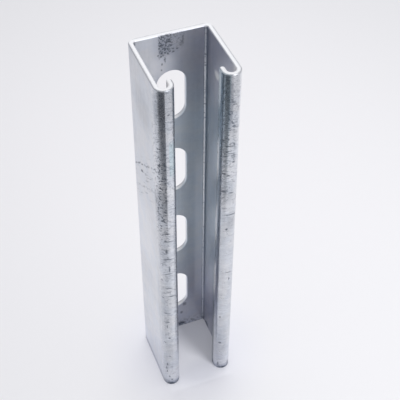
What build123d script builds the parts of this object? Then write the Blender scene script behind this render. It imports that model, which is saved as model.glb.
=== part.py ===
from build123d import *
import os

# Strut channel: a sawn length of C-section rolled from one steel strip.
# It stands on its sawn foot: Z runs along the length, the web is at +Y, the open side faces -Y.
# All sizes in millimetres.

# --- the rolled section -----------------------------------------------------
WIDTH = 41.3            # across the two flanges
DEPTH = 41.3            # from the back of the web to the front of the lips
WALL = 2.5              # strip thickness
THROAT = 22.3           # clear opening between the two lips
CORNER_INNER = 1.5      # inside bend where web turns into flange
LIP_DEPTH = 7.8         # how far each lip reaches back into the section
STRIP_EDGE = 1.0        # rounding on the rolled edges of the strip, at the lip tips

# --- the cut length and the punched slots ------------------------------------
SLOT_COUNT = 4
SLOT_PITCH = 50.0       # centre to centre
SLOT_WIDTH = 15.0
SLOT_LENGTH = 30.5      # end to end, lying along the channel
END_MARGIN = 36.5       # sawn end to the nearest slot centre
SLOT_ROLLOVER = 0.3     # soft edge the punch leaves on both faces of the web
SAW_BREAK = 0.35        # bevel left where the burr of the saw was knocked off

# --- what follows from them ---------------------------------------------------
LENGTH = (SLOT_COUNT - 1) * SLOT_PITCH + 2 * END_MARGIN
HALF_WIDTH = WIDTH / 2
BACK = DEPTH / 2
FRONT = -DEPTH / 2
CORNER_OUTER = CORNER_INNER + WALL
LIP_INNER_X = THROAT / 2
LIP_WIDTH = HALF_WIDTH - LIP_INNER_X
HOOK_OUTER = LIP_WIDTH / 2              # the lip is rolled over in one half circle
HOOK_INNER = HOOK_OUTER - WALL
HOOK_X = LIP_INNER_X + HOOK_OUTER       # centre of that half circle
HOOK_Y = FRONT + HOOK_OUTER
TIP_Y = FRONT + LIP_DEPTH


def half_section():
    """Outline of the +X half: web, bend, flange, hooked lip, and back along the inside."""
    tip_outer = (LIP_INNER_X, TIP_Y)
    tip_inner = (LIP_INNER_X + WALL, TIP_Y)
    with BuildSketch() as half:
        with BuildLine():
            Line((0, BACK), (HALF_WIDTH - CORNER_OUTER, BACK))
            CenterArc((HALF_WIDTH - CORNER_OUTER, BACK - CORNER_OUTER), CORNER_OUTER, 90, -90)
            Line((HALF_WIDTH, BACK - CORNER_OUTER), (HALF_WIDTH, HOOK_Y))
            CenterArc((HOOK_X, HOOK_Y), HOOK_OUTER, 0, -180)
            Polyline((LIP_INNER_X, HOOK_Y), tip_outer, tip_inner, (LIP_INNER_X + WALL, HOOK_Y))
            CenterArc((HOOK_X, HOOK_Y), HOOK_INNER, 180, 180)
            Line((HALF_WIDTH - WALL, HOOK_Y), (HALF_WIDTH - WALL, BACK - CORNER_OUTER))
            CenterArc((HALF_WIDTH - CORNER_OUTER, BACK - CORNER_OUTER), CORNER_INNER, 0, 90)
            Polyline((HALF_WIDTH - CORNER_OUTER, BACK - WALL), (0, BACK - WALL), (0, BACK))
        make_face()
        tip_corners = half.vertices().filter_by_position(Axis.Y, TIP_Y - 0.01, TIP_Y + 0.01)
        fillet(tip_corners, STRIP_EDGE)
    return half.sketch


def section():
    """The whole C section: the half outline and its mirror image, joined at the web."""
    right = half_section()
    return right + mirror(right, about=Plane.YZ)


def slot_heights():
    """Heights of the slot centres above the foot."""
    return [END_MARGIN + i * SLOT_PITCH for i in range(SLOT_COUNT)]


def channel():
    """Roll the length, punch the slots through the web and take the burr off the edges."""
    bar = extrude(section(), LENGTH)
    through_web = Plane(origin=(0, BACK, 0), x_dir=(0, 0, 1), z_dir=(0, 1, 0))
    for height in slot_heights():
        outline = through_web * Pos(height, 0) * SlotOverall(SLOT_LENGTH, SLOT_WIDTH)
        bar -= extrude(outline, WALL, both=True)

    web_faces = (BACK, BACK - WALL)
    slot_edges = [
        edge for edge in bar.edges()
        if abs(edge.center().X) <= SLOT_WIDTH
        and SAW_BREAK < edge.center().Z < LENGTH - SAW_BREAK
        and any(abs(edge.center().Y - y) < 0.01 for y in web_faces)
    ]
    bar = fillet(slot_edges, SLOT_ROLLOVER)

    sawn_faces = [bar.faces().sort_by(Axis.Z)[0], bar.faces().sort_by(Axis.Z)[-1]]
    sawn_edges = [edge for face in sawn_faces for edge in face.edges()]
    bar = chamfer(sawn_edges, SAW_BREAK)

    bar.label = "strut_channel"
    return bar


os.makedirs("parts", exist_ok=True)
export_step(channel(), "parts/strut_channel.step")
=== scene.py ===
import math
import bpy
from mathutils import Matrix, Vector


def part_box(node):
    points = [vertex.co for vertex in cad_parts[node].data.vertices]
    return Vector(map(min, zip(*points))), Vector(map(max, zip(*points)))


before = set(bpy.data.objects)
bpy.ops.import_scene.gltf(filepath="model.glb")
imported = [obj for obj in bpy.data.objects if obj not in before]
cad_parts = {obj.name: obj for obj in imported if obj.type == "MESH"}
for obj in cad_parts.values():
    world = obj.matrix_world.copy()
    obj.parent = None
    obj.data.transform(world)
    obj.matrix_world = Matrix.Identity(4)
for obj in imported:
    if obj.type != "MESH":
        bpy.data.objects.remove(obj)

# %% [markdown]
# # A cut length of strut channel
# The real object is one strip of galvanised steel, rolled into a square C, punched with slots and sawn
# to length. The CAD model already has the exact section, so this lesson is about what a plain model
# lacks: the zinc finish with its roll marks and grime, the bare sawn ends, and a studio that a
# half-shiny metal can reflect. Metal has hardly any colour of its own. What it shows is mostly the
# room, so the room is built as carefully as the finish.

MM = 0.001
scene = bpy.context.scene
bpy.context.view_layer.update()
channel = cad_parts["strut_channel"]
low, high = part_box("strut_channel")
LENGTH = (high.z - low.z) / MM
HALF_WIDTH = high.x / MM
BACK = high.y / MM
FRONT = low.y / MM
print("channel", round(LENGTH, 1), "mm long,", round(2 * HALF_WIDTH, 1), "by", round(BACK - FRONT, 1), "mm")

# %% [markdown]
# ## A shorthand for shader maths
# A finish made of patterns is a long sum of masks. Adding every Math node by hand hides the sum, so one
# small class wraps a socket and lets Python's own + - * ** build the nodes. Values use Math nodes and
# vectors use Vector Math nodes, because a Math node would turn a vector into a single grey number.

# %% The socket class
class Wire:
    """A node's output socket that can be used in sums, such as 1 - mask * 0.5."""

    def __init__(self, tree, socket):
        self.tree = tree
        self.socket = socket

    def node(self, kind, settings=None, inputs=None, output=0):
        """Add any other node: first its settings, then its sockets by name or number."""
        made = self.tree.nodes.new(kind)
        for name, value in (settings or {}).items():
            setattr(made, name, value)
        for key, value in (inputs or {}).items():
            self.feed(made.inputs[key], value)
        return Wire(self.tree, made.outputs[output])

    def feed(self, target, value):
        """Link a wire to a socket, or set the socket to a plain value."""
        if isinstance(value, Wire):
            self.tree.links.new(value.socket, target)
        else:
            target.default_value = value

    def sum(self, operation, first, second):
        """A Math node, or Vector Math where either side is a vector."""
        pair = (first, second)
        vectors = any(isinstance(item, Wire) and item.socket.type == "VECTOR" for item in pair)
        kind = "ShaderNodeVectorMath" if vectors else "ShaderNodeMath"
        return self.node(kind, {"operation": operation}, dict(enumerate(pair)))

    def __add__(self, other):
        return self.sum("ADD", self, other)

    def __radd__(self, other):
        return self.sum("ADD", other, self)

    def __sub__(self, other):
        return self.sum("SUBTRACT", self, other)

    def __rsub__(self, other):
        return self.sum("SUBTRACT", other, self)

    def __mul__(self, other):
        return self.sum("MULTIPLY", self, other)

    def __rmul__(self, other):
        return self.sum("MULTIPLY", other, self)

    def __pow__(self, other):
        return self.sum("POWER", self, other)

    def axis(self, name):
        """The X, Y or Z of a vector."""
        return self.node("ShaderNodeSeparateXYZ", None, {0: self}, output="XYZ".index(name))

    def ramp(self, start, end):
        """0 at start, 1 at end, eased at both. The start may be the larger one."""
        settings = {"interpolation_type": "SMOOTHSTEP", "clamp": True}
        return self.node("ShaderNodeMapRange", settings, {"Value": self, "From Min": start, "From Max": end})


print("a Wire can", [name for name in vars(Wire) if not name.startswith("__")])

# %% [markdown]
# ## Patterns in millimetres
# All wear is built from three shapes: soft noise, a round spot at a known place, and a band between two
# values. They work in millimetres, so a mark on the real channel can be measured and typed in.

# %% Noise, spots and bands
def noise(place, per_mm, detail=2.0, stretch=(1, 1, 1), seed=0.0):
    """Soft noise from 0 to 1. A larger stretch makes the pattern finer along that axis."""
    spread = place * stretch if stretch != (1, 1, 1) else place
    shifted = spread + (seed * 37.1, seed * 11.7, seed * 23.3)
    return shifted.node("ShaderNodeTexNoise", None, {"Vector": shifted, "Scale": per_mm, "Detail": detail})


def length_of(vector):
    """How long a vector is."""
    return vector.node("ShaderNodeVectorMath", {"operation": "LENGTH"}, {0: vector}, output=1)


def spot(place, centre, radii):
    """1 inside an ellipsoid, easing to 0 at its surface."""
    away = (place - centre) * tuple(1 / r for r in radii)
    return length_of(away).ramp(1.0, 0.3)


def between(value, start, end, soft):
    """1 between start and end, easing to 0 over the soft distance outside them."""
    return value.ramp(start - soft, start) * value.ramp(end + soft, end)


print("patterns: noise, spot, between")


# %% Values and vectors
def apply(name, value):
    """One of the Math node's own functions, such as ABSOLUTE or SQRT."""
    return value.node("ShaderNodeMath", {"operation": name}, {0: value})


def combined(x, y, z):
    """A vector from three values."""
    return x.node("ShaderNodeCombineXYZ", None, {0: x, 1: y, 2: z})


def added(parts):
    """The sum of several masks, held at 1. The parts may come one at a time from a generator."""
    total = 0.0
    for part in parts:
        total = part + total
    return total.node("ShaderNodeClamp", None, {0: total})


print("helpers for values: apply, combined, added")


# %% Colours
def mixed(amount, first, second):
    """A colour that goes from first to second with the amount."""
    return amount.node("ShaderNodeMix", {"data_type": "RGBA"}, {0: amount, 6: first, 7: second}, output=2)


def tinted(amount, colour, tint):
    """The colour multiplied by a tint, by the amount."""
    settings = {"data_type": "RGBA", "blend_type": "MULTIPLY"}
    return amount.node("ShaderNodeMix", settings, {0: amount, 6: colour, 7: tint}, output=2)


def fresh_material(name):
    """A new material, its Principled shader, and the object's own coordinates in metres."""
    material = bpy.data.materials.new(name)
    material.use_nodes = True
    tree = material.node_tree
    shader = tree.nodes["Principled BSDF"]
    return material, shader, Wire(tree, tree.nodes.new("ShaderNodeTexCoord").outputs["Object"])


print("helpers for colours: mixed, tinted, fresh_material")

# %% [markdown]
# ## The zinc
# The strip was galvanised flat and then pushed through rollers, so the wear isn't even. The flat faces
# keep a soft cloudy zinc with faint lines drawn along the length. The lips took the whole pressure of
# the rollers: they are burnished smoother, with short marks across their curve and dark grit where the
# zinc cracked. Some light and shade is painted into the colour as well: darker reflection on the lips,
# shade in the hollows and a few highlights. Such a finish could be painted on an unwrapped image. Here
# it is added up from masks, because each mark has a known place in millimetres and can be moved by
# changing one number.

# %% Start the zinc
zinc_material, zinc_shader, start = fresh_material("galvanised_steel")
place = start * (1 / MM, 1 / MM, 1 / MM)
x, y, z = (place.axis(name) for name in "XYZ")
print("material", zinc_material.name)

# %% [markdown]
# ### Where on the section
# The outer skin, the inner skin and the sawn ends look different. The mesh could be cut up, with a
# material for each, but the CAD mesh stays whole, so the shader tells them apart. Depth below the outer
# skin does it: 0 outside and one wall thickness inside. On the flat faces it is a distance to a plane,
# and on the hooked lips a distance to the lip's own half circle.

# %% Faces of the channel
LIP_RADIUS = 4.75
LIP_X = HALF_WIDTH - LIP_RADIUS
LIP_Y = FRONT + LIP_RADIUS
INNER_FACE = 18.15
left = x.ramp(1, -1)
right = 1 - left
lip = y.ramp(-11.0, -16.0)
wide = apply("ABSOLUTE", x)
ahead = x.sum("MAXIMUM", LIP_Y - y, 0.0)
behind = x.sum("MAXIMUM", y - LIP_Y, 0.0)
flat_depth = x.sum("MINIMUM", HALF_WIDTH - wide, BACK - y)
hook_depth = LIP_RADIUS - apply("SQRT", (wide - LIP_X) ** 2 + ahead ** 2)
hooked = y.ramp(LIP_Y + 3.2, LIP_Y + 3.0)
depth = flat_depth * (1 - hooked) + hook_depth * hooked
inside = depth.ramp(1.2, 1.8)
outside = 1 - inside
web = inside * y.ramp(17.6, 18.0)
upward = start.node("ShaderNodeNewGeometry", output=1).axis("Z")
sawn = apply("ABSOLUTE", upward).ramp(0.6, 0.9)
print("lips curve round x", round(LIP_X, 2), "and y", round(LIP_Y, 2))

# %% [markdown]
# ### Girth
# Roller marks follow the curve of a lip, so they are placed by girth: the distance in millimetres round
# the curve, 0 on the lip's front line, positive towards the outer flange and negative towards the open
# throat. Girth and height together unroll a lip like a sheet of paper. A hand-made UV map could do the
# same, but this one is worked out from the section and fits it exactly. A second sheet is bowed a
# little, because a roller presses its marks in shallow arcs.

# %% The unrolled skin
girth = LIP_RADIUS * x.sum("ARCTAN2", wide - LIP_X, ahead) + behind
side = apply("SIGN", x)
skin = combined(girth, z, side)
mottle = noise(place, 0.40, 3.0, seed=1)
bowed = combined(girth, z + 0.07 * (girth + side) ** 2 + 1.2 * mottle, side)
print("a lip is", round(math.pi * LIP_RADIUS, 1), "mm round")

# %% [markdown]
# ### Noise
# Real zinc is uneven at every scale, from clouds as long as a finger to grit finer than a millimetre. One
# noise can't hold them all, so each scale gets its own, and all masks below share these. Those for the
# lips are sampled on the unrolled skin, stretched across it, because rollers drag everything that way.

# %% Noise patterns
cloud = noise(place, 0.035, 3.0)
drawn = noise(place, 0.9, 2.0, (1, 1, 0.03), 2)
fine = noise(place, 2.0, 6.0, seed=3)
patches = noise(place, 0.12, 2.0, seed=4)
clumps = noise(place, 0.45, 2.0, seed=7)
grain = noise(skin, 1.0, 2.0, (0.75, 1, 1), 8)
rolled = noise(bowed, 1.0, 2.0, (0.12, 0.40, 3), 9)
across = noise(bowed, 1.0, 2.0, (0.22, 1.3, 3), 5)
print("patterns from clouds to grit: 9")

# %% [markdown]
# ### Grit and fine roller marks
# Grit sits where the zinc cracked: on the shoulder of the left lip and on the throat side of the right
# one, mostly in the upper half. These zones are also where the darker reflection falls on the lips, so
# the dots are partly grit and partly painted darker reflection. The grit could be scattered as
# thousands of tiny specks, but they would cost more than the channel itself. Each zone is instead a band
# of girth times a band of height, and all of them switch the same pattern of dots on. Hairlines and
# dashes run across the lips between the dots.

# %% Grit
dots = grain.ramp(0.52, 0.66)
ridge = between(girth, 1.2, 3.0, 6.0) * (0.55 + 0.45 * girth.ramp(0.8, 2.0)) * between(z, 148, 183, 15)
below_ridge = 0.75 * between(girth, 2.0, 5.0, 3.0) * between(z, 110, 150, 12) * clumps.ramp(0.30, 0.48)
above_ridge = 0.7 * between(girth, 3.8, 5.0, 1.5) * z.ramp(140, 190)
flank = 0.9 * between(girth, 4.5, 8.5, 2.5) * between(z, 142, 175, 12)
# painted shade: the grit's dots also carry part of the darker reflection on the lips
left_grit_and_painted_shade = left * (ridge + below_ridge + above_ridge + flank)
throat_side = between(girth, -5.5, 1.0, 1.0) * between(z, 150, 223, 8)
right_grit_and_painted_shade = right * throat_side * (0.55 + 0.45 * between(z, 175, 205, 8))
grit_and_painted_shade = (left_grit_and_painted_shade + right_grit_and_painted_shade) * dots * outside
print("zones of grit: 5")

# %% Hairlines, dashes and the foot
specks = lip * outside * between(girth, -2.5, 2.5, 0.8) * z.ramp(165, 205) * fine.ramp(0.50, 0.60)
hairs = apply("ABSOLUTE", rolled - 0.5).ramp(0.055, 0.0) * clumps.ramp(0.40, 0.52)
dashes = right * outside * across.ramp(0.56, 0.64) * between(girth, -4.5, 1.8, 1.2) * between(z, 146, 204, 8)
tick_strength = 0.5 * left * between(z, 55, 105, 15) + 0.5 * z.ramp(110, 150) + 0.4
ticks = lip * outside * hairs * tick_strength * between(girth, -3.5, 4.5, 1.5)
line = left * outside * between(girth, 1.5, 2.0, 0.4) * between(z, 145, 195, 10) * grain.ramp(0.40, 0.52)
foot_height = (z + 6 * (grain - 0.5)).ramp(4.0, 0.8)
foot = outside * foot_height * fine.ramp(0.30, 0.50) * (0.06 + 0.60 * between(girth, -3.0, 3.0, 2.0))
print("fine marks: specks, ticks, dashes, a dark line and the foot")

# %% [markdown]
# ### Marks with a place of their own
# Noise gives the right texture, but a viewer remembers the single marks. Those that stand out on this
# channel are listed. Knocks are small dents with dirt in them. Creases are the arcs that the
# rollers pressed across the lips. Decals could carry them, but a row of numbers is easier to correct: the
# side (-1 is left), the girth and height of the centre, then half the length and half the height.

# %% Knocks
KNOCKS = [(-1, -0.6, 209.5, 1.0, 0.7), (-1, 4.6, 174.6, 1.8, 0.6), (-1, 2.2, 120, 0.9, 2.6),
          (-1, 5.6, 96.3, 1.1, 0.8), (-1, 5.2, 81.8, 1.0, 0.7), (-1, 0.9, 106, 0.6, 3.5),
          (-1, 3.6, 20.4, 0.6, 2.2), (-1, 4.3, 16.6, 0.7, 2.0), (-1, 3.9, 13.4, 0.6, 1.5),
          (-1, 1.2, 18, 1.3, 0.7), (-1, 2.1, 29, 1.3, 0.8), (-1, 1.9, 46.5, 0.9, 1.2),
          (-1, 4.8, 41.5, 1.2, 0.7), (-1, 3.0, 57, 0.5, 2.2), (1, 0.9, 170.8, 1.1, 1.0),
          (1, -1.4, 124.2, 1.0, 1.1), (1, 1.1, 84, 0.6, 1.6), (1, -3.2, 50.5, 0.6, 1.3),
          (1, -2.8, 26, 1.4, 1.1), (-1, 1.6, 1.2, 2.6, 1.8), (-1, 1.2, 5.2, 1.0, 1.2),
          (-1, 2.5, 8.4, 0.7, 1.2), (1, -3.6, 4.4, 0.9, 2.4), (1, 3.0, 4.2, 0.8, 2.4),
          (1, -0.5, 1.0, 2.8, 1.3)]


def marks_on(surface, marks):
    """Soft spots at the places in a list."""
    return added(spot(surface, (g, h, s), (rg, rh, 1)) for s, g, h, rg, rh in marks)


knocks = marks_on(skin, KNOCKS)
print("knocks", len(KNOCKS))

# %% Creases
CREASES = [(-1, 0.5, 84.4, 4.2, 0.55), (-1, 1, 128, 3.6, 0.6), (-1, 1, 114.6, 4.0, 0.6),
           (-1, 1.5, 103, 3.4, 0.5), (-1, 1.5, 91, 3.0, 0.5), (-1, 1.5, 88.4, 2.6, 0.45),
           (-1, 2.4, 69.5, 2.4, 0.5), (-1, 2.6, 62, 2.2, 0.5), (-1, 2, 133.6, 3.2, 0.5),
           (1, -3.4, 152.2, 2.8, 1.0), (1, 0.2, 151.0, 2.0, 0.7), (1, 0.8, 135.4, 5.5, 0.5),
           (1, -3.9, 164.4, 1.6, 0.9), (1, -1.7, 163.0, 1.2, 0.8), (1, -1.6, 182, 3.4, 0.45),
           (1, 0.3, 194.3, 1.4, 0.9), (1, 0.6, 90.3, 3.2, 0.4), (1, -0.4, 177.4, 3.0, 0.4)]
creases = marks_on(bowed, CREASES)
pressed = (knocks + creases) * outside * fine.ramp(0.28, 0.46)
print("creases", len(CREASES))

# %% [markdown]
# ### Scuffs on the left flange
# Something was dragged over the outer flange and left two slanting lines of short scratches. Cut grooves
# would be too deep: the marks only broke the shine. They are laid out in turned coordinates, one along
# the drag and one over it, and noise breaks the lines up. A ramp on x keeps them on the outer face, so
# they don't run on round the back.

# %% Scuffs
DRAG_Z, DRAG_Y = 0.57, 0.82
along = z * DRAG_Z - y * DRAG_Y
over = z * DRAG_Y + y * DRAG_Z
scratches = noise(combined(along * 0.10, over * 0.9, z * 0.0), 1.0, 4.0, seed=6)
waved = over + 3.0 * clumps
streaks = between(waved, 134.9, 135.2, 0.55) + 0.5 * between(waved, 122.5, 122.8, 0.6)
faint = 0.6 * scratches.ramp(0.59, 0.64) * between(over, 118, 134, 6) * fine.ramp(0.42, 0.55)
dragged = x.ramp(-20, -20.4) * (streaks * grain.ramp(0.46, 0.58) + faint) * y.ramp(-17, -13)
gouge = left * outside * spot(combined(along, over, x * 0.0), (82.8, 129.8, 0), (3.0, 1.0, 1))
scuffs = dragged + gouge
torn_band = between(girth, 5, 9, 3) * between(z, 125, 195, 20)
tears = x.ramp(-19, -20) * across.ramp(0.55, 0.63) * torn_band * fine.ramp(0.35, 0.5)
print("drag lines lean", round(math.degrees(math.atan2(DRAG_Z, DRAG_Y))), "degrees")

# %% [markdown]
# ### Grime inside
# Dirt collected inside at the top of the web, below the saw cut. It is a thin film with a lower edge
# that climbs to the right, thick dots at its left, and single blots that trickle down. A few damp
# stains sit at the foot. Noise alone would spread it evenly, so the blots are rows of x, height, half
# width and half height on the web, and the stains are places with their half sizes.

# %% Grime at the top of the web
BLOTS = [(-4.3, 222.3, 1.1, 0.9), (-2.1, 222.3, 0.9, 0.6), (-4.7, 217.5, 1.5, 1.7), (-2.1, 218.4, 0.8, 1.3),
         (-3.2, 215.2, 1.4, 1.4), (-1.2, 218.9, 0.6, 0.7), (-0.2, 218.8, 0.6, 0.7), (-4.7, 213.2, 0.8, 1.2),
         (-3.0, 212.8, 0.8, 0.8), (-1.3, 212.4, 0.8, 0.6), (1.2, 212.5, 1.0, 0.7), (3.2, 213.9, 0.9, 0.6),
         (1.2, 214.4, 0.8, 0.5), (5.7, 216.8, 1.1, 1.8), (6.1, 219.2, 0.5, 2.2), (4.8, 215.6, 0.8, 0.9),
         (-6.3, 212.0, 0.7, 0.7), (-4.9, 211.3, 0.7, 0.8), (-3.1, 209.4, 0.9, 1.3), (-2.9, 207.9, 0.5, 1.4),
         (-4.5, 206.6, 0.6, 1.0), (-4.8, 203.4, 0.6, 0.9)]
smear = web * between(x, -5.4, 6.2, 1.2) * (z - 0.27 * x).ramp(210.5, 214)
dense = smear * between(x, -5.4, -1.0, 2.5)
film = 0.11 * smear + 0.11 * dense
grime = dense * fine.ramp(0.49, 0.56) * 0.8 + smear * fine.ramp(0.56, 0.62) * 0.6
blots = web * added(spot(place, (bx, INNER_FACE, bz), (rx, 1, rz)) for bx, bz, rx, rz in BLOTS)
blots = blots * fine.ramp(0.36, 0.50)
print("blots", len(BLOTS))

# %% Stains at the foot
STAINS = [((3.0, INNER_FACE, 2.6), (3.6, 1, 3.4)), ((INNER_FACE, 12.4, 2.2), (1, 2.6, 2.8)),
          ((5.6, INNER_FACE, 21.0), (1.7, 1, 2.2)), ((3.6, INNER_FACE, 13.6), (1.3, 1, 1.8))]
pools = inside * added(spot(place, centre, radii) for centre, radii in STAINS) * fine.ramp(0.30, 0.50)
stain = inside * z.ramp(9, 2) * clumps.ramp(0.45, 0.60) * fine.ramp(0.35, 0.5) * y.ramp(8, 12)
print("stains", len(STAINS))

# %% [markdown]
# ### All the dirt, and the painted shade in the grit, in one mask
# Every kind of dirt darkens the zinc in the same way, and so does the painted darker reflection in the
# grit, so the masks are added and held at 1. One sum means one place to set how strong each kind is, and
# where two overlap they can't turn darker than dirt.

# %% All the dirt and the painted shade in one mask
dirt_and_painted_shade = added([grit_and_painted_shade * 0.68, specks * 0.30, dashes * 0.38 * mottle.ramp(0.35, 0.5), ticks * 0.40,
              line * 0.6, foot, scuffs * 0.90, tears * 0.5, film, grime, blots * 0.75, stain * 0.6,
              pools * 0.75, pressed * 0.75])
print("kinds of dirt: 14")

# %% [markdown]
# ### How grey the zinc is
# Under the dirt the zinc itself is uneven: cloudy from the bath, drawn along the length by the rollers,
# and darker in some broad patches and paler in others. Some darker patches on the lips are painted
# darker reflection, the pale patch high on the right lip is a painted highlight, and the left side is
# painted a little darker towards the top, as a darker reflection. One flat grey would look like plastic.
# One value holds this tone, and a mix turns it into a colour from dark to pale zinc. A row of the lists
# holds side, girth, height, half length, half height and amount.

# %% Broad patches
# darker patches; some on the lips, such as the top of the right lip, are painted darker reflection
DARK_PATCHES_AND_PAINTED_SHADE = [(-1, 6.0, 152, 6.5, 17, 0.24), (-1, 6, 127, 5, 24, 0.09), (-1, 7, 68, 7, 50, 0.13),
          (-1, 6.5, 213, 4, 14, 0.15), (-1, -2.7, 95, 1.7, 78, 0.20), (-1, 5, 20, 3.5, 14, 0.08),
          (1, -1.6, 207, 1.8, 22, 0.30), (1, -2.5, 22, 5.5, 25, 0.10), (1, -1.2, 150, 4.5, 12, 0.13),
          (1, 0.4, 130, 4.0, 13, 0.15), (-1, -2.4, 55, 1.5, 16, 0.16), (-1, 24, 198, 15, 17, 0.10)]
# paler patches; the second, high on the right lip, is a painted highlight
PALE_PATCHES_AND_PAINTED_HIGHLIGHT = [(-1, 32, 110, 24, 30, 0.12), (1, 3.4, 202, 3.0, 40, 0.30)]


def patches_on(surface, rows):
    """Broad soft patches, each with its own amount."""
    return added(amount * spot(surface, (g, h, s), (rg, rh, 1)) for s, g, h, rg, rh, amount in rows)


print("darker patches", len(DARK_PATCHES_AND_PAINTED_SHADE), "and paler ones", len(PALE_PATCHES_AND_PAINTED_HIGHLIGHT))

# %% Tone
tone = 0.90 + 0.22 * (cloud - 0.5) + 0.14 * (mottle - 0.5) + 0.10 * (drawn - 0.5) - 0.02 * lip
# painted darker reflection: the left side's outer skin darkens towards the top
tone = tone - 0.05 * left * outside * z.ramp(185, 215)
tone = tone - 0.05 * lip * z.ramp(150, 90) * added([right, girth.ramp(1, 3)])
tone = tone - 0.07 * left * between(girth, 0.8, 4.2, 0.8) * between(z, 20, 118, 12) * clumps.ramp(0.3, 0.5)
tone = tone - outside * patches_on(skin, DARK_PATCHES_AND_PAINTED_SHADE)
tone = tone + outside * patches_on(skin, PALE_PATCHES_AND_PAINTED_HIGHLIGHT)
tone = tone + 0.10 * across.ramp(0.5, 0.7) * lip
tone = tone - 0.04 * left * outside * between(girth, -0.3, 0.9, 1.2) * z.ramp(60, 150)
blend = tone.ramp(0.5, 1.1)
print("nodes so far", len(zinc_material.node_tree.nodes))

# %% [markdown]
# ### Colours
# Zinc inside the section was rubbed less and stays paler, but light that bounces between the walls
# cools it in the middle of the length: that cool light is painted in as a tint. Colouring the lamps would
# tint everything, so both skins get their own pair of colours, and tints bend them where the channel is
# cooler, duller or brighter. The right inner wall is painted darker as shade, most of all low down near
# its front.

# %% Zinc inside the section
inner = mixed(blend, (0.55, 0.57, 0.61, 1), (0.90, 0.91, 0.93, 1))
ends = mixed(x.ramp(-3, -12) * z.ramp(170, 200), (0.77, 0.775, 0.83, 1), (0.93, 0.925, 0.94, 1))
inner = tinted(inside, inner, mixed(between(z, 75, 165, 45), ends, (0.87, 0.92, 0.95, 1)))
# painted shade: the right inner wall a little darker
shaded_right_wall = x.ramp(17.6, 18.0)
inner = tinted(shaded_right_wall, inner, (0.93, 0.92, 0.92, 1))
# painted shade: darker still at the front of the right inner wall, low down near the lip
inner = tinted(shaded_right_wall * y.ramp(7, 0) * z.ramp(80, 60), inner, (0.60, 0.62, 0.64, 1))
beside_corner = web * between(x, 13.5, 16.2, 2.5) * between(z, 38, 130, 20)
inner = mixed(beside_corner * 0.55, inner, (0.95, 0.96, 0.98, 1))
below_grime = web * spot(place, (-3.5, INNER_FACE, 205.5), (9.5, 1, 10))
inner = mixed(below_grime * 0.55, inner, (0.90, 0.90, 0.94, 1))
print("inner skin ready, nodes so far", len(zinc_material.node_tree.nodes))

# %% Zinc outside, and both skins together
zinc = mixed(blend, (0.42, 0.44, 0.48, 1), (0.82, 0.83, 0.86, 1))
zinc = mixed(inside, zinc, inner)
zinc = tinted(patches.ramp(0.4, 0.6), zinc, (0.955, 0.975, 1.0, 1))
# painted contact shade: the outer skin darkens over the last few millimetres above the floor, the left lip a
# little more
zinc = tinted(outside * z.ramp(6.0, 1.5), zinc, (0.66, 0.67, 0.71, 1))
zinc = tinted(outside * left * lip * z.ramp(6.0, 1.5), zinc, (0.80, 0.81, 0.83, 1))
# painted reflection: the dark flag's teal tint on the throat side of the right lip, strongest at the top
painted_reflection_teal = right * outside * between(girth, -8, -2.0, 0.5) * z.ramp(150, 215)
zinc = tinted(painted_reflection_teal, zinc, (0.84, 0.94, 0.97, 1))
# the last few millimetres of the right lip face the throat; they are painted darker as shade, most of all
# low down
tip_shade = right * hooked * y.ramp(-16.2, -15.0) * wide.ramp(12.4, 11.8)
zinc = tinted(tip_shade * (0.5 + 0.5 * z.ramp(105, 75)), zinc, (0.50, 0.52, 0.54, 1))
breath = left * outside * between(girth, -3.5, -0.7, 0.5) * between(z, 174, 190, 5)
zinc = tinted(breath, zinc, (0.86, 0.97, 0.98, 1))
print("both skins ready, nodes so far", len(zinc_material.node_tree.nodes))

# %% [markdown]
# ### The back corner and two pale marks
# In the inner bend at the back right the zinc ran together into a thin ragged line, which shines beside
# a dark bend. The bend is painted darker as shade, and the line's shine is a painted highlight on that
# bead of zinc. It could be modelled as a bead, but it is far thinner than the wall, so a colour is enough.
# The right flange carries a pale smudge, and inside each hook the saw left a whitish burr, which is partly
# a painted highlight. Neither is bare metal, so both are made less metallic as well.

# %% Bead, smudge and burr
BEND_CENTRE = 16.65
corner = x.sum("ARCTAN2", x - BEND_CENTRE, y - BEND_CENTRE) + 0.5 * (fine - 0.5)
corner_shade_zone = inside * x.ramp(16.5, 16.8) * y.ramp(16.5, 16.8)
bead_and_highlight = corner_shade_zone * between(corner, 0.35, 0.75, 0.20) * grain.ramp(0.30, 0.42)
bead_highlight_strength = 0.35 + 0.65 * z.ramp(40, 130) - 0.5 * z.ramp(196, 212)
# painted shade in the inner back corner
zinc = tinted(corner_shade_zone, zinc, (0.62, 0.64, 0.68, 1))
# painted highlight along the bead of zinc
zinc = mixed(bead_and_highlight * bead_highlight_strength, zinc, (0.97, 0.98, 1.0, 1))
smudge = spot(place, (18.2, 5.0, 203.2), (2, 4.4, 3.4)) * fine.ramp(0.20, 0.44)
zinc = mixed(smudge, zinc, (0.95, 0.95, 0.95, 1))
# partly a whitish saw burr and partly a painted highlight inside each hook
burr_and_highlight = inside * lip * wide.ramp(19.0, 17.5) * z.ramp(LENGTH - 9, LENGTH - 5)
zinc = mixed(burr_and_highlight, zinc, (0.93, 0.92, 0.90, 1))
marked = mixed(dirt_and_painted_shade * 0.80, zinc, (0.05, 0.068, 0.10, 1))
print("burr starts", round(LENGTH - 9), "mm up")

# %% [markdown]
# ### Sawn ends
# The saw cut through the zinc and left bare steel, bright and matt. The cuts could have a material slot
# of their own, but they are the only faces that point up or down, so the surface's own direction finds
# them. They are brightest in the core of the wall and greyer towards both skins, with a dark line
# where the zinc was torn, and the foot is dirty from standing on it.

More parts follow.
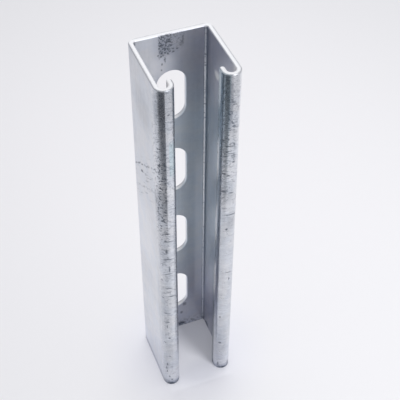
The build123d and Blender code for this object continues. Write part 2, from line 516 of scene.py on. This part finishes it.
# %% Bare steel
ragged = depth + 0.9 * (fine - 0.5)
bare = mixed(ragged.ramp(0.3, 1.1), (0.58, 0.59, 0.61, 1), (0.83, 0.835, 0.85, 1))
bare = tinted(ragged.ramp(0.5, 0.2), bare, (0.5, 0.5, 0.52, 1))
bare = tinted(z.ramp(3, 0.5), bare, (0.35, 0.36, 0.38, 1))
print("sawn faces at 0 and", round(LENGTH), "mm")

# %% [markdown]
# ### Relief
# The roller marks are far too shallow to model: a few hundredths of a millimetre. A bump bends the
# reflections instead. The lips carry more of it than the flat faces, and the shoulder of the left one
# is slightly flattened, which gives the dark stripe in it a sharp right edge and a soft left one.
# Dirt stays out of the bump, because it is colour and not relief.

# %% Bump
height = 0.010 * mottle + 0.012 * fine * (0.3 + lip) + 0.02 * across * lip
height = height + 0.03 * grain * left * between(girth, 2.5, 8, 1.5) * z.ramp(105, 150)
height = height + 0.05 * grain * right * lip * between(girth, -7, 1.5, 1.5) * z.ramp(130, 165)
FOLD_FROM, FOLD_TO = 1.0, 6.5
fold = girth.node("ShaderNodeClamp", None, {0: girth, 1: FOLD_FROM, 2: FOLD_TO})
height = height + 0.0165 * (FOLD_TO - fold) ** 2 * left * z.ramp(50, 160)
relief = {"Strength": 1.0, "Distance": MM, "Height": height * (1 - sawn)}
bump = start.node("ShaderNodeBump", None, relief)
print("the fold reaches from girth", FOLD_FROM, "to", FOLD_TO, "mm")

# %% [markdown]
# ### Put the zinc on
# The finish meets the Principled shader at four sockets. Zinc is a metal all over, so only the smudge,
# the burrs and the dusty saw cuts lower Metallic. Dirt is matt and the burnished lips are shinier, which
# Roughness says. Mixing two whole shaders would do the same with twice the work for the renderer.

# %% Put the zinc on
polish = 0.30 + 0.08 * cloud - 0.10 * lip * outside + 0.08 * inside + 0.25 * dirt_and_painted_shade
start.feed(zinc_shader.inputs["Base Color"], mixed(sawn, marked, bare))
start.feed(zinc_shader.inputs["Metallic"], 1 - 0.85 * smudge - 0.4 * sawn - 0.9 * burr_and_highlight)
start.feed(zinc_shader.inputs["Roughness"], polish * (1 - sawn) + 0.55 * sawn)
start.feed(zinc_shader.inputs["Normal"], bump)
channel.material_slots[0].material = zinc_material
print("zinc on", channel.name, "with", len(zinc_material.node_tree.nodes), "nodes")

# %% [markdown]
# ## Camera
# The camera looks down at the channel from its front left, from a little under half a metre, so the open
# side, one outer flange and the sawn end all show. It could be turned by hand in the viewport. Two
# angles and an aim say the same in numbers and give the same view every time.

# %% Camera
scene.view_settings.view_transform = "Standard"
AIM = Vector((6.844, -2.91, 131.788)) * MM
AZIMUTH, ELEVATION, ROLL = (math.radians(a) for a in (-21.803, 45.518, 0.478))
DISTANCE = 473.54 * MM


def direction(azimuth, elevation):
    """A unit vector: azimuth 0 is straight in front of the open side, positive to its right."""
    flat = math.cos(elevation)
    return Vector((math.sin(azimuth) * flat, -math.cos(azimuth) * flat, math.sin(elevation)))


sight = direction(AZIMUTH, ELEVATION)
rightward = Vector((0, 0, 1)).cross(sight).normalized()
axes = Matrix((rightward, sight.cross(rightward), sight)).transposed().to_4x4()
lens = bpy.data.cameras.new("camera")
lens.lens = 82.74
lens.clip_start = 0.01
camera = bpy.data.objects.new("camera", lens)
camera.matrix_world = Matrix.Translation(AIM + sight * DISTANCE) @ axes @ Matrix.Rotation(ROLL, 4, "Z")
scene.collection.objects.link(camera)
scene.camera = camera
print("camera", round(DISTANCE / MM), "mm from its aim, lens", round(lens.lens, 1), "mm")

# %% [markdown]
# ## Floor
# The floor is one pale sheet of paper, but it is built as two pieces that meet edge to edge: a large
# one with a hole, and a small one that fills the hole under the channel. That lets the lamps below
# treat them differently. Light and shade are also painted into the paper: a painted pool of light
# makes it palest behind the channel, a painted cool shade darkens it a little near the foot, and a
# painted shadow darkens it inside the throat, where less light gets in.

# %% Paper
FOOT_SHADE_TINT = (0.955, 0.96, 1.0, 1)
THROAT_SHADOW_TINT = (0.88, 0.885, 0.90, 1)


def paper_with_painted_light():
    material, shader, start = fresh_material("paper")
    shader.inputs["Roughness"].default_value = 0.8
    # painted pool of light: palest a little behind the channel, darker farther off
    light_pool = length_of(start - (0.06, 0.17, 0)).ramp(0.03, 0.40)
    colour = mixed(light_pool, (0.885, 0.877, 0.893, 1), (0.79, 0.79, 0.805, 1))
    # painted cool shade near the channel's foot
    foot_shade = length_of(start).ramp(0.060, 0.020)
    colour = tinted(foot_shade, colour, FOOT_SHADE_TINT)
    # painted shadow under and in front of the throat
    throat_shadow = spot(start, (0.003, -0.018, 0), (0.020, 0.012, 1))
    start.feed(shader.inputs["Base Color"], tinted(throat_shadow, colour, THROAT_SHADOW_TINT))
    return material


paper = paper_with_painted_light()
print("floor material", paper.name)


# %% Floor
def sheet(name, corners, faces, material):
    """A flat stage piece from corners and faces."""
    mesh = bpy.data.meshes.new(name)
    mesh.from_pydata(corners, [], faces)
    mesh.materials.append(material)
    made = bpy.data.objects.new(name, mesh)
    scene.collection.objects.link(made)
    return made


def rectangle(west, south, east, north):
    return [(west, south, 0), (east, south, 0), (east, north, 0), (west, north, 0)]


under = rectangle(-0.0194, -0.026, 0.0194, 0.0194)
ring = [(0, 1, 5, 4), (1, 2, 6, 5), (2, 3, 7, 6), (3, 0, 4, 7)]
floor = sheet("floor", rectangle(-4, -4, 4, 4) + under, ring, paper)
foot_floor = sheet("foot_floor", under, [(0, 1, 2, 3)], paper)
print("floor pieces", floor.name, "and", foot_floor.name)

# %% [markdown]
# ## Studio
# A pale dome and soft boxes light the channel. An image of a real room would light it too, but soft boxes
# can be aimed and measured. The back light and the front light shape the metal. The floor round the
# channel should stay clean, so its own front lamp casts no shadow. Between the walls there is a soft
# shadow, so the small floor piece has a lamp that casts one and a fill that thins it. Light linking
# decides which lamp reaches which piece.

# %% Dome
world = bpy.data.worlds.new("studio")
scene.world = world
world.use_nodes = True
backdrop = world.node_tree.nodes["Background"]
backdrop.inputs["Strength"].default_value = 0.60
backdrop.inputs["Color"].default_value = (0.96, 0.965, 1.0, 1)
print("dome strength", round(backdrop.inputs["Strength"].default_value, 2))


# %% Soft boxes
def softbox(name, place, size, power, shadow=True):
    """A square lamp that faces a point at the middle of the channel."""
    light = bpy.data.lights.new(name, "AREA")
    light.size = size
    light.energy = power
    light.use_shadow = shadow
    box = bpy.data.objects.new(name, light)
    box.location = place
    box.rotation_euler = (Vector((0, 0, 0.1)) - Vector(place)).to_track_quat("-Z", "Y").to_euler()
    scene.collection.objects.link(box)
    return box


def only_for(box, targets, state):
    """Limit a lamp to these objects (INCLUDE), or to everything but them (EXCLUDE)."""
    group = bpy.data.collections.new(box.name + " targets")
    for number, target in enumerate(targets):
        group.objects.link(target)
        group.collection_objects[number].light_linking.link_state = state
    box.light_linking.receiver_collection = group


FRONT_LAMP = direction(math.radians(26), math.radians(42)) * 1.0
FOOT_LAMP = direction(math.radians(27), math.radians(42)) * 1.0
FRONT_SIZE = 0.32
softbox("back light", (0.22, 0.62, 0.80), 0.8, 2.2)
only_for(softbox("front light", FRONT_LAMP, FRONT_SIZE, 3.5), [floor, foot_floor], "EXCLUDE")
only_for(softbox("foot light", FOOT_LAMP, FRONT_SIZE, 4.0), [foot_floor], "INCLUDE")
only_for(softbox("foot fill", FRONT_LAMP, FRONT_SIZE, 2.2, shadow=False), [foot_floor], "INCLUDE")
only_for(softbox("front light floor", FRONT_LAMP, FRONT_SIZE, 5.1, shadow=False), [floor], "INCLUDE")

# %% [markdown]
# ## Dark flag
# The camera looks down, so an upright metal face mirrors the floor, and a floor that is pale everywhere
# would leave the metal flat and grey. A studio puts a dark flag beside the set to give metal its
# contrast. Here the flag is a flat ring on the floor that only reflections can see. It is dark at the
# front left, has a sharp edge at one bearing, where the stripe on the lip ends, and is dim beyond it.
# Near the channel it is clear, because the floor there is still bright, and far off it fades out, so
# that low views stay bright too.

# %% Dark flag
FLAG_EDGE = math.radians(-22)
FLAG_BACK = math.radians(-105)
FLAG_BACK_SOFT = math.radians(-80)
SHARP = 0.02


def flag_finish():
    material, shader, start = fresh_material("flag")
    shader.inputs["Base Color"].default_value = (0.011, 0.018, 0.030, 1)
    shader.inputs["Roughness"].default_value = 1.0
    shader.inputs["Specular IOR Level"].default_value = 0.0
    east, north = start.axis("X"), start.axis("Y")
    bearing = start.sum("ARCTAN2", east, north * -1.0)
    dark = 0.98 * (0.0 - east - north).ramp(0.172, 0.330) * bearing.ramp(FLAG_EDGE, FLAG_EDGE - SHARP)
    dark = dark * bearing.ramp(FLAG_BACK, FLAG_BACK_SOFT)
    dim = 0.30 * length_of(start).ramp(0.20, 0.27) * bearing.ramp(FLAG_EDGE - SHARP, FLAG_EDGE)
    start.feed(shader.inputs["Alpha"], (dark + dim) * length_of(start).ramp(0.60, 0.36))
    return material


RADII = (0.085, 0.6)
LIFT = 0.0005
bearings = [math.radians(a) for a in range(-177, 90, 2)]
corners = [(r * math.sin(a), -r * math.cos(a), LIFT) for r in RADII for a in bearings]
count = len(bearings)
faces = [(i, i + 1, i + 1 + count, i + count) for i in range(count - 1)]
flag = sheet("flag", corners, faces, flag_finish())
flag.visible_camera = False
flag.visible_diffuse = False
flag.visible_shadow = False
flag.visible_transmission = False
print("flag of", len(faces), "faces")

# Nothing was added to the channel's shape.
